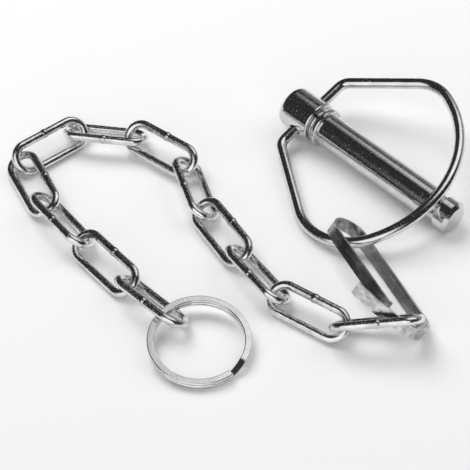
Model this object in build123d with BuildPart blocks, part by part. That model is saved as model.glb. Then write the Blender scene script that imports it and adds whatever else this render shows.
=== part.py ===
from build123d import *
from math import asin, copysign, cos, radians, sin, sqrt
import os

os.makedirs("parts", exist_ok=True)

# Driving dimensions, in millimetres and degrees.

# The turned locking pin. Its stations are counted along its axis from the cross hole, tip positive.
shaft_radius = 6.0
head_radius = 7.75
head_back = 9.6
head_front = 5.2
head_crown = 0.8
head_corner_round = 3.0
head_front_round = 0.8
neck_radius = 5.4
neck_round = 0.6
collar_radius = 7.5
collar_back = 7.2
collar_front = 9.2
collar_round = 0.7
tip_end = 70.3
tip_bevel = 1.3
groove_start = 59.3
groove_end = 64.7
groove_depth = 0.9
groove_round = 0.6
hole_clearance = 0.3

# The spring wire bail: two ends in the cross hole, splayed legs, round corners, a wide front arc.
# It is bent by hand, so its upper and lower sides differ a little.
bail_wire_radius = 2.0
bail_end_gap = 1.2
bail_stub_bend = 5.0
bail_leg_splay = 33.5
bail_upper_stub = 18.8
bail_upper_bend = 13.5
bail_lower_stub = 15.3
bail_lower_bend = 21.0
bail_front_radius = 42.4
bail_front_offset = -4.0
bail_reach = 62.9
bail_seat_gap = 0.3

# The flat spring clip, bent from one strip.
strip_width = 4.5
strip_thickness = 1.0
clip_bend_radius = 6.9
clip_back_length = 41.0
clip_tongue_length = 34.8
clip_lip_length = 2.0
clip_lip_angle = 30.0
clip_tab_angle = 38.5
clip_tab_length = 11.0
clip_flare_angle = 24.0
clip_flare_length = 9.5

# The long-link welded chain.
link_wire_radius = 1.5
link_pitch = 26.0
link_width = 13.0
weld_swell = 0.22
weld_half_length = 1.8
weld_root = 1.0

# The split ring, two turns of flattened spring wire.
ring_outer_radius = 17.4
ring_strip_width = 2.3
ring_turn_height = 1.4
ring_turn_gap = 0.1
ring_corner_round = 0.35
ring_step_angle = 24.0
ring_step_sections = 7

# The lay on the table, as the pieces come to rest. Headings turn left from +X.
shift_x = 0.31
shift_y = 1.18
hole_x = 27.0 + shift_x
hole_y = 51.5 + shift_y
pin_heading = -45.0
pin_roll = 13.9
clip_x = 39.3 + shift_x
clip_y = -6.4 + shift_y
clip_heading = -64.2
clip_tilt = 53.8
first_link_x = -28.0 + shift_x
first_link_y = -34.0 + shift_y
link_headings = [136, 131, 128, 116, 39, -8, -37, -73, -59, -55, -34]
link_rolls = [40, -34, 37, -24, 45, -25, 40, -34, 34, -37, 35]
link_slack = [2.2, 0.9, 4.2, 2.4, 3.6, 3.0, 2.9, 2.4, 3.3, 2.2]
link_lift = [0.0, 0.0, 0.5, 0.5, 0.0, 1.0, 1.5, 0.0, 0.5, 0.0, 0.0]
last_link_x = 46.7 + shift_x
last_link_y = -46.15 + shift_y
last_link_z = 8.12
last_link_heading = -0.8
last_link_pitch = 8.8
last_link_roll = -46.0
ring_x = -11.8 + shift_x
ring_y = -50.3 + shift_y
ring_tilt = 6.3
ring_tilt_heading = 100.0
ring_step_heading = -50.0

UP = Vector(0, 0, 1)


def level(heading):
    """The level unit vector at a heading."""
    return Vector(cos(radians(heading)), sin(radians(heading)), 0)


# The pin lies on its head and its tip, so its axis dips a little. Its roll rests the bail's low side.
pin_dip = asin((head_radius - shaft_radius) / (tip_end - tip_bevel - head_front))
pin_along = level(pin_heading) * cos(pin_dip) - UP * sin(pin_dip)
pin_side = level(pin_heading + 90) * cos(radians(pin_roll)) + UP * sin(radians(pin_roll))
pin_side = (pin_side - pin_along * pin_side.dot(pin_along)).normalized()
pin_up = pin_along.cross(pin_side)
hole_centre = Vector(hole_x, hole_y, head_radius + head_front * sin(pin_dip))

# The bail's front arc lies in the groove at the tip, so its plane rises a little from the pin's axis.
groove_floor = shaft_radius - groove_depth
bail_rise = asin((groove_floor + bail_seat_gap + bail_wire_radius) / bail_reach)
bail_along = pin_along * cos(bail_rise) + pin_up * sin(bail_rise)

# The pin is one turning: crowned head, neck, collar, shaft, groove for the bail and bevelled tip.
head_rim = (-head_back + head_crown, head_radius)
crown_middle = (-head_back + head_crown / 4, head_radius / 2)
with BuildPart() as pin_body:
    with BuildSketch(Plane(origin=hole_centre, x_dir=pin_along, z_dir=pin_side * -1)) as turning:
        with BuildLine():
            ThreePointArc((-head_back, 0), crown_middle, head_rim)
            Polyline(
                head_rim,
                (head_front, head_radius),
                (head_front, neck_radius),
                (collar_back, neck_radius),
                (collar_back, collar_radius),
                (collar_front, collar_radius),
                (collar_front, shaft_radius),
                (groove_start, shaft_radius),
                (groove_start, groove_floor),
                (groove_end, groove_floor),
                (groove_end, shaft_radius),
                (tip_end - tip_bevel, shaft_radius),
                (tip_end, shaft_radius - tip_bevel),
                (tip_end, 0),
                (-head_back, 0),
            )
        make_face()
        rounds = {
            head_rim: head_corner_round,
            (head_front, head_radius): head_front_round,
            (head_front, neck_radius): neck_round,
            (collar_back, neck_radius): neck_round,
            (collar_back, collar_radius): collar_round,
            (collar_front, collar_radius): collar_round,
            (groove_start, groove_floor): groove_round,
            (groove_end, groove_floor): groove_round,
        }
        for place, radius in rounds.items():
            fillet(turning.vertices().sort_by_distance(place).first, radius)
    revolve(axis=Axis(hole_centre, pin_along))
    with Locations(Plane(origin=hole_centre, z_dir=pin_side)):
        Hole(bail_wire_radius + hole_clearance)
pin_body.part.label = "pin_body"
export_step(pin_body.part, "parts/pin_body.step")

# The bail is one wire laid out in its own plane. Across the pin is x, along the pin is y.
bail_plane = Plane(origin=hole_centre, x_dir=pin_side, z_dir=pin_side.cross(bail_along))
leg_x = sin(radians(bail_leg_splay))
leg_y = cos(radians(bail_leg_splay))
front_rise = sqrt(bail_front_radius**2 - bail_front_offset**2)
front_centre = bail_reach - front_rise


def leg_end(stub, offset):
    """Where a splayed leg meets the circle of the front arc, on the side where x is positive."""
    half = (stub - offset) * leg_x - front_centre * leg_y
    rest = (stub - offset) ** 2 + front_centre**2 - bail_front_radius**2
    length = sqrt(half**2 - rest) - half
    return (stub + length * leg_x, length * leg_y)


upper_end = leg_end(bail_upper_stub, bail_front_offset)
mirrored_end = leg_end(bail_lower_stub, -bail_front_offset)
lower_end = (-mirrored_end[0], mirrored_end[1])
bail_bends = {
    (bail_upper_stub, 0): bail_stub_bend,
    (-bail_lower_stub, 0): bail_stub_bend,
    upper_end: bail_upper_bend,
    lower_end: bail_lower_bend,
}
with BuildPart() as bail_wire:
    with BuildLine() as outline:
        Polyline((bail_end_gap / 2, 0), (bail_upper_stub, 0), upper_end)
        ThreePointArc(upper_end, (0, bail_reach), lower_end)
        Polyline(lower_end, (-bail_lower_stub, 0), (-bail_end_gap / 2, 0))
        for place, radius in bail_bends.items():
            fillet(outline.vertices().sort_by_distance(place).first, radius)
    bail_path = bail_plane.from_local_coords(outline.wire())
    with BuildSketch(Plane(origin=bail_path @ 0, z_dir=bail_path % 0)):
        Circle(bail_wire_radius)
    sweep(path=bail_path)
bail_wire.part.label = "bail_wire"
export_step(bail_wire.part, "parts/bail_wire.step")

# The clip is one strip: a tongue, a bend over the bail, a long back leg, a bottom bend and a flared tab.
clip_along = level(clip_heading)
clip_low = level(clip_heading + 90) * cos(radians(clip_tilt)) + UP * sin(radians(clip_tilt))
clip_reach = clip_bend_radius + strip_thickness / 2
clip_z = strip_width / 2 * sin(radians(clip_tilt)) + clip_reach * cos(radians(clip_tilt))
clip_plane = Plane(origin=(clip_x, clip_y, clip_z), x_dir=clip_along, z_dir=clip_low * -1)


def strip_point(start, angle, length):
    """The point a length away from a start, at an angle turned back from the clip's own length."""
    return (start[0] - length * cos(radians(angle)), start[1] + length * sin(radians(angle)))


tab_start = (
    clip_back_length + clip_bend_radius * sin(radians(clip_tab_angle)),
    clip_bend_radius * cos(radians(clip_tab_angle)),
)
tab_crease = strip_point(tab_start, clip_tab_angle, clip_tab_length)
tab_end = strip_point(tab_crease, clip_flare_angle, clip_flare_length)
tongue_crease = (clip_tongue_length, clip_bend_radius)
tongue_end = strip_point(tongue_crease, 180 + clip_lip_angle, clip_lip_length)
with BuildPart() as spring_clip:
    with BuildSketch(clip_plane):
        with BuildLine():
            Polyline(tongue_end, tongue_crease, (0, clip_bend_radius))
            ThreePointArc((0, clip_bend_radius), (-clip_bend_radius, 0), (0, -clip_bend_radius))
            Line((0, -clip_bend_radius), (clip_back_length, -clip_bend_radius))
            JernArc((clip_back_length, -clip_bend_radius), (1, 0), clip_bend_radius, 180 - clip_tab_angle)
            Polyline(tab_start, tab_crease, tab_end)
        trace(line_width=strip_thickness)
    extrude(amount=strip_width / 2, both=True)
spring_clip.part.label = "spring_clip"
export_step(spring_clip.part, "parts/spring_clip.step")

# Each chain link is one closed loop of round wire. A link lies on the table, rolled to one side, and
# its near end hooks round the far end of the link before it. The last one leans on the clip.
bend_radius = link_width / 2 - link_wire_radius
bend_place = link_pitch / 2 + link_wire_radius - bend_radius


def link_axes(heading, pitch, roll):
    """The direction along a link and the direction across it."""
    along = level(heading) * cos(radians(pitch)) + UP * sin(radians(pitch))
    across = level(heading + 90)
    return along, across * cos(radians(roll)) + along.cross(across) * sin(radians(roll))


def bow(along, side, direction):
    """The unit vector in a link's own plane that points nearest to a direction."""
    return (along * direction.dot(along) + side * direction.dot(side)).normalized()


link_places = []
for index, (heading, roll) in enumerate(zip(link_headings, link_rolls)):
    along, side = link_axes(heading, 0, roll)
    height = link_wire_radius + bend_radius * abs(sin(radians(roll))) + link_lift[index]
    if index == 0:
        centre = Vector(first_link_x, first_link_y, height)
    else:
        last_centre, last_along, last_side = link_places[-1]
        direction = level((link_headings[index - 1] + heading) / 2)
        far_end = last_centre + last_along * bend_place + bow(last_along, last_side, direction) * bend_radius
        near_end = far_end - direction * (2 * link_wire_radius + link_slack[index - 1])
        centre = near_end + along * bend_place + bow(along, side, direction) * bend_radius
        centre = Vector(centre.X, centre.Y, height)
    link_places.append((centre, along, side))
last_centre = Vector(last_link_x, last_link_y, last_link_z)
link_places.append((last_centre, *link_axes(last_link_heading, last_link_pitch, last_link_roll)))

# Each link's weld is a low bead round its raised leg.
weld_left = (-weld_half_length, weld_root)
weld_right = (weld_half_length, weld_root)
for number, (centre, along, side) in enumerate(link_places, 1):
    weld_place = centre + side * copysign(bend_radius, side.Z)
    right_end = bend_place + bend_radius
    with BuildPart() as chain_link:
        with BuildLine(Plane(origin=centre, x_dir=along, z_dir=along.cross(side))) as loop:
            Line((bend_place, bend_radius), (-bend_place, bend_radius))
            ThreePointArc((-bend_place, bend_radius), (-right_end, 0), (-bend_place, -bend_radius))
            Line((-bend_place, -bend_radius), (bend_place, -bend_radius))
            ThreePointArc((bend_place, -bend_radius), (right_end, 0), (bend_place, bend_radius))
        with BuildSketch(Plane(origin=loop.wire() @ 0, z_dir=loop.wire() % 0)):
            Circle(link_wire_radius)
        sweep(path=loop.wire())
        with BuildSketch(Plane(origin=weld_place, x_dir=along, z_dir=along.cross(side))):
            with BuildLine():
                Polyline(weld_left, (-weld_half_length, 0), (weld_half_length, 0), weld_right)
                ThreePointArc(weld_right, (0, link_wire_radius + weld_swell), weld_left)
            make_face()
        revolve(axis=Axis(weld_place, along))
    chain_link.part.label = f"link_{number:02d}"
    export_step(chain_link.part, f"parts/link_{number:02d}.step")

# The split ring is two flat turns of one strip. A short step carries the lower turn up to the upper one.
ring_raised = level(ring_tilt_heading) * cos(radians(ring_tilt)) + UP * sin(radians(ring_tilt))
ring_level = level(ring_tilt_heading + 90)
ring_axis = ring_raised.cross(ring_level)
ring_rise = ring_turn_height + ring_turn_gap
ring_half_height = ring_turn_height + ring_turn_gap / 2
ring_z = ring_outer_radius * sin(radians(ring_tilt)) + ring_half_height * cos(radians(ring_tilt))
ring_centre = Vector(ring_x, ring_y, ring_z)
ring_radius = ring_outer_radius - ring_strip_width / 2


def strip_section(angle, climb):
    """The plane of the strip's section, at an angle round the ring and a part of the step climbed."""
    outward = ring_raised.rotate(Axis((0, 0, 0), ring_axis), ring_step_heading - ring_tilt_heading + angle)
    middle = ring_centre + outward * ring_radius + ring_axis * ring_rise * (climb - 0.5)
    return Plane(origin=middle, x_dir=outward, z_dir=outward.cross(ring_axis))


with BuildPart() as split_ring:
    for climb in (0, 1):
        with BuildSketch(strip_section(ring_step_angle, climb)):
            RectangleRounded(ring_strip_width, ring_turn_height, ring_corner_round)
        revolve(axis=Axis(ring_centre, ring_axis), revolution_arc=360 - ring_step_angle)
    for section in range(ring_step_sections):
        share = section / (ring_step_sections - 1)
        climb = share**2 * (3 - 2 * share)
        with BuildSketch(strip_section(ring_step_angle * share, climb)):
            RectangleRounded(ring_strip_width, ring_turn_height, ring_corner_round)
    loft()
split_ring.part.label = "split_ring"
export_step(split_ring.part, "parts/split_ring.step")
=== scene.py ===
import bpy
import math
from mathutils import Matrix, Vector


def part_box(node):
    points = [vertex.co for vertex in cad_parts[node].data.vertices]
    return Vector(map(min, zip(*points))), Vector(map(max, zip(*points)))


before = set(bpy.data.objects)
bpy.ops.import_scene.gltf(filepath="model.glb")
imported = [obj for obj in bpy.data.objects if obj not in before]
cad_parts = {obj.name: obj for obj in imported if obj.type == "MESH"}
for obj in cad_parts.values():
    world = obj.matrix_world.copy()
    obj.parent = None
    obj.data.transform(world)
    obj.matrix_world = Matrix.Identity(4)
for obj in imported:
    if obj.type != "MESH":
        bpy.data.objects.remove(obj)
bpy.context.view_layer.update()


# The stand: a seamless pale table top under everything, wide enough to run out of view.
# It is a matt white board, lit softly, so the metal keeps its shadow beside it.
bpy.ops.object.select_all(action="DESELECT")
TABLE_SIZE = 4.0
TABLE_DROP = 0.0001
BOARD_WHITE = (0.94, 0.94, 0.94, 1.0)
bpy.ops.mesh.primitive_plane_add(size=TABLE_SIZE, location=(0.0, 0.0, -TABLE_DROP))
floor = bpy.context.object
floor.name = "table_top"
bpy.ops.object.transform_apply(location=True, rotation=True, scale=True)
floor_paint = bpy.data.materials.new("matt_white_board")
floor_paint.use_nodes = True
floor_shader = floor_paint.node_tree.nodes["Principled BSDF"]
floor_shader.inputs["Base Color"].default_value = BOARD_WHITE
floor_shader.inputs["Roughness"].default_value = 1.0
floor_shader.inputs["Specular IOR Level"].default_value = 0.0
floor.data.materials.append(floor_paint)


# The room light: a mostly dark studio with a white screen low in front, another up on the right,
# and a grey wall low behind it. Bright metal mirrors them, so each bar has a dark band between pale ones.
DARK_ROOM = 0.035
GREY_WALL = 0.30
WHITE_SCREEN = 1.15
SCREENS = (
    # heading and height of the middle in degrees, inner and outer reach in degrees, brightness
    (-110.0, 25.0, 30.0, 48.0, WHITE_SCREEN),
    (45.0, 58.0, 14.0, 30.0, WHITE_SCREEN),
    (45.0, 0.0, 22.0, 48.0, GREY_WALL),
)
world = bpy.data.worlds.new("studio")
bpy.context.scene.world = world
world.use_nodes = True
nodes = world.node_tree.nodes
links = world.node_tree.links
background = nodes["Background"]
place = nodes.new("ShaderNodeTexCoord")
glow = None
for heading, height, inner, outer, brightness in SCREENS:
    flat = math.cos(math.radians(height))
    toward = nodes.new("ShaderNodeVectorMath")
    toward.operation = "DOT_PRODUCT"
    toward.inputs[1].default_value = (
        flat * math.cos(math.radians(heading)),
        flat * math.sin(math.radians(heading)),
        math.sin(math.radians(height)),
    )
    screen = nodes.new("ShaderNodeMapRange")
    screen.interpolation_type = "SMOOTHSTEP"
    screen.inputs["From Min"].default_value = math.cos(math.radians(outer))
    screen.inputs["From Max"].default_value = math.cos(math.radians(inner))
    screen.inputs["To Min"].default_value = DARK_ROOM
    screen.inputs["To Max"].default_value = brightness
    links.new(place.outputs["Generated"], toward.inputs[0])
    links.new(toward.outputs["Value"], screen.inputs["Value"])
    if glow is None:
        glow = screen.outputs["Result"]
    else:
        brighter = nodes.new("ShaderNodeMath")
        brighter.operation = "MAXIMUM"
        links.new(glow, brighter.inputs[0])
        links.new(screen.outputs["Result"], brighter.inputs[1])
        glow = brighter.outputs["Value"]
seen = nodes.new("ShaderNodeLightPath")
white = nodes.new("ShaderNodeBackground")
white.inputs["Color"].default_value = (1.0, 1.0, 1.0, 1.0)
pick = nodes.new("ShaderNodeMixShader")
links.new(glow, background.inputs["Color"])
links.new(seen.outputs["Is Camera Ray"], pick.inputs["Fac"])
links.new(background.outputs["Background"], pick.inputs[1])
links.new(white.outputs["Background"], pick.inputs[2])
links.new(pick.outputs["Shader"], nodes["World Output"].inputs["Surface"])


# The lamps: one large soft box up on the left and behind, and a weaker one up on the right.
# The first casts the soft grey shadows that run down and to the right. Neither shows in the metal.
def soft_box(name, place, size, power):
    """Add a square soft box that shines at the middle of the table."""
    lamp = bpy.data.lights.new(name, "AREA")
    lamp.shape = "SQUARE"
    lamp.size = size
    lamp.energy = power
    holder = bpy.data.objects.new(name, lamp)
    holder.location = place
    holder.rotation_euler = (Vector(place) * -1).to_track_quat("-Z", "Y").to_euler()
    holder.visible_glossy = False
    bpy.context.scene.collection.objects.link(holder)


soft_box("key_soft_box", (-0.64, 0.88, 1.40), 1.24, 23.0)
soft_box("fill_soft_box", (1.32, 0.40, 1.04), 1.20, 5.6)


# The camera stands where the photographer did, above and in front, with a long lens.
CAMERA_DISTANCE = 0.626
CAMERA_TILT = math.radians(48.0)
LENS_PIXELS = 1787.0
PHOTO_PIXELS = 470.0
SENSOR_WIDTH = 36.0
AIM = Vector((0.00031, 0.00118, 0.0))
camera_data = bpy.data.cameras.new("camera")
camera_data.sensor_width = SENSOR_WIDTH
camera_data.lens = LENS_PIXELS / PHOTO_PIXELS * SENSOR_WIDTH
camera = bpy.data.objects.new("camera", camera_data)
away = Vector((0.0, -math.cos(CAMERA_TILT), math.sin(CAMERA_TILT)))
camera.location = AIM + away * CAMERA_DISTANCE
camera.rotation_euler = (math.pi / 2 - CAMERA_TILT, 0.0, 0.0)
bpy.context.scene.collection.objects.link(camera)
bpy.context.scene.camera = camera
bpy.context.scene.view_settings.view_transform = "Standard"


# The pin is turned from bar steel and bright zinc plated. Turning leaves very fine rings round it,
# and the plating is a little uneven, with small dull specks where it has been handled.
def metal(name, grey, roughness):
    """A bare metal with its shader's own constants set, ready for its surface detail."""
    paint = bpy.data.materials.new(name)
    paint.use_nodes = True
    shader = paint.node_tree.nodes["Principled BSDF"]
    shader.inputs["Base Color"].default_value = (grey, grey, grey, 1.0)
    shader.inputs["Metallic"].default_value = 1.0
    shader.inputs["Roughness"].default_value = roughness
    return paint


def add_noise(paint, scale, detail, stretch=(1.0, 1.0, 1.0), turn=(0.0, 0.0, 0.0)):
    """A noise on the object's own coordinates, turned and stretched to follow the piece."""
    tree = paint.node_tree
    place = tree.nodes.new("ShaderNodeTexCoord")
    mapping = tree.nodes.new("ShaderNodeMapping")
    mapping.vector_type = "TEXTURE"
    mapping.inputs["Rotation"].default_value = turn
    mapping.inputs["Scale"].default_value = stretch
    noise = tree.nodes.new("ShaderNodeTexNoise")
    noise.inputs["Scale"].default_value = scale
    noise.inputs["Detail"].default_value = detail
    tree.links.new(place.outputs["Object"], mapping.inputs["Vector"])
    tree.links.new(mapping.outputs["Vector"], noise.inputs["Vector"])
    return noise.outputs["Fac"]


def vary(paint, value, low, high, socket, from_low=0.35, from_high=0.65):
    """Drive a number socket of the shader between two values."""
    tree = paint.node_tree
    spread = tree.nodes.new("ShaderNodeMapRange")
    spread.inputs["From Min"].default_value = from_low
    spread.inputs["From Max"].default_value = from_high
    spread.inputs["To Min"].default_value = low
    spread.inputs["To Max"].default_value = high
    tree.links.new(value, spread.inputs["Value"])
    tree.links.new(spread.outputs["Result"], tree.nodes["Principled BSDF"].inputs[socket])


def tint(paint, value, dark, pale):
    """Run the base colour between two greys."""
    tree = paint.node_tree
    ramp = tree.nodes.new("ShaderNodeValToRGB")
    ramp.color_ramp.elements[0].position = 0.30
    ramp.color_ramp.elements[0].color = (dark, dark, dark, 1.0)
    ramp.color_ramp.elements[1].position = 0.70
    ramp.color_ramp.elements[1].color = (pale, pale, pale, 1.0)
    tree.links.new(value, ramp.inputs["Fac"])
    tree.links.new(ramp.outputs["Color"], tree.nodes["Principled BSDF"].inputs["Base Color"])


def add_bump(paint, value, height):
    """Raise the surface by a value, on top of any bump that is already there."""
    tree = paint.node_tree
    shader = tree.nodes["Principled BSDF"]
    bump = tree.nodes.new("ShaderNodeBump")
    bump.inputs["Distance"].default_value = height
    bump.inputs["Strength"].default_value = 1.0
    tree.links.new(value, bump.inputs["Height"])
    if shader.inputs["Normal"].is_linked:
        tree.links.new(shader.inputs["Normal"].links[0].from_socket, bump.inputs["Normal"])
    tree.links.new(bump.outputs["Normal"], shader.inputs["Normal"])


def dress(node, paint):
    """Put a material on every slot of a modelled piece."""
    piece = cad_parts[node]
    if not piece.material_slots:
        piece.data.materials.append(paint)
    for slot in piece.material_slots:
        slot.material = paint


PIN_TURN = (0.0, math.radians(1.6), math.radians(-45.0))
pin_plate = metal("turned_zinc_plate", 0.80, 0.14)
turning_marks = add_noise(pin_plate, 900.0, 3.0, stretch=(0.35, 6.0, 6.0), turn=PIN_TURN)
handling = add_noise(pin_plate, 260.0, 6.0)
specks = add_noise(pin_plate, 1700.0, 6.0)
tint(pin_plate, handling, 0.60, 0.72)
vary(pin_plate, specks, 0.07, 0.55, "Roughness", 0.60, 0.72)
add_bump(pin_plate, turning_marks, 0.000012)
add_bump(pin_plate, specks, 0.00002)
dress("pin_body", pin_plate)


# The bail is drawn spring wire, bent cold and plated bright. The plating is a little uneven,
# with a fine grain and small dull specks all over.
wire_plate = metal("drawn_wire_plate", 0.82, 0.12)
wire_wear = add_noise(wire_plate, 180.0, 6.0)
wire_grain = add_noise(wire_plate, 1400.0, 4.0)
tint(wire_plate, wire_wear, 0.62, 0.80)
vary(wire_plate, wire_grain, 0.07, 0.45, "Roughness", 0.58, 0.72)
add_bump(wire_plate, wire_grain, 0.000025)
dress("bail_wire", wire_plate)


# The clip is one bent strip of rolled spring steel, left satin and darker than the plated pieces.
# Rolling marks run along the strip, and a faint stain makes it duller in places.
CLIP_TURN = (0.0, 0.0, math.radians(-64.2))
strip = metal("rolled_spring_strip", 0.52, 0.34)
rolling_marks = add_noise(strip, 700.0, 4.0, stretch=(9.0, 0.8, 0.8), turn=CLIP_TURN)
strip_stain = add_noise(strip, 140.0, 5.0)
tint(strip, rolling_marks, 0.36, 0.66)
vary(strip, strip_stain, 0.14, 0.30, "Roughness")
add_bump(strip, rolling_marks, 0.00003)
dress("spring_clip", strip)


# The chain links are cut from round wire, bent shut and butt welded on one leg, then tumbled bright.
# The weld leaves a darker patch there, and tumbling leaves many small dents.
WELD_DEPTH = 0.0015
WELD_PATCH = (0.0018, 0.0052)
WELD_DARKNESS = 0.72
OUTWARD_PENALTY = 0.6


def link_paint(node):
    """Chain steel with a darker patch round the weld, which is the bulge on the link's upper leg."""
    low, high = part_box(node)
    middle = (Vector(low) + Vector(high)) / 2
    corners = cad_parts[node].data.vertices
    upper = max(corners, key=lambda v: v.co.z - OUTWARD_PENALTY * (v.co - middle).length)
    paint = metal("chain_steel_" + node, 0.55, 0.2)
    tree = paint.node_tree
    dents = add_noise(paint, 420.0, 3.0)
    smut = add_noise(paint, 170.0, 6.0)
    grain = add_noise(paint, 1600.0, 4.0)
    place = tree.nodes.new("ShaderNodeTexCoord")
    reach = tree.nodes.new("ShaderNodeVectorMath")
    reach.operation = "DISTANCE"
    reach.inputs[1].default_value = (upper.co.x, upper.co.y, upper.co.z - WELD_DEPTH)
    tree.links.new(place.outputs["Object"], reach.inputs[0])
    near = tree.nodes.new("ShaderNodeMapRange")
    near.inputs["From Min"].default_value = WELD_PATCH[0]
    near.inputs["From Max"].default_value = WELD_PATCH[1]
    near.inputs["To Min"].default_value = WELD_DARKNESS
    near.inputs["To Max"].default_value = 1.0
    tree.links.new(reach.outputs["Value"], near.inputs["Value"])
    tint(paint, smut, 0.62, 0.86)
    shader = tree.nodes["Principled BSDF"]
    colour = shader.inputs["Base Color"].links[0].from_socket
    darken = tree.nodes.new("ShaderNodeVectorMath")
    darken.operation = "SCALE"
    tree.links.new(colour, darken.inputs[0])
    tree.links.new(near.outputs["Result"], darken.inputs["Scale"])
    tree.links.new(darken.outputs["Vector"], shader.inputs["Base Color"])
    vary(paint, grain, 0.10, 0.36, "Roughness", 0.45, 0.68)
    add_bump(paint, dents, 0.00010)
    add_bump(paint, grain, 0.000012)
    return paint


for number in range(1, 13):
    link = f"link_{number:02d}"
    dress(link, link_paint(link))


# The split ring is coiled from flattened wire in two turns and bright nickel plated.
# It is the brightest piece, with a fine grain and patches that are rubbed a little duller.
nickel = metal("ring_nickel_plate", 0.86, 0.10)
ring_wear = add_noise(nickel, 220.0, 6.0)
ring_grain = add_noise(nickel, 1400.0, 4.0)
tint(nickel, ring_wear, 0.70, 0.92)
vary(nickel, ring_wear, 0.06, 0.18, "Roughness")
add_bump(nickel, ring_grain, 0.00002)
dress("split_ring", nickel)
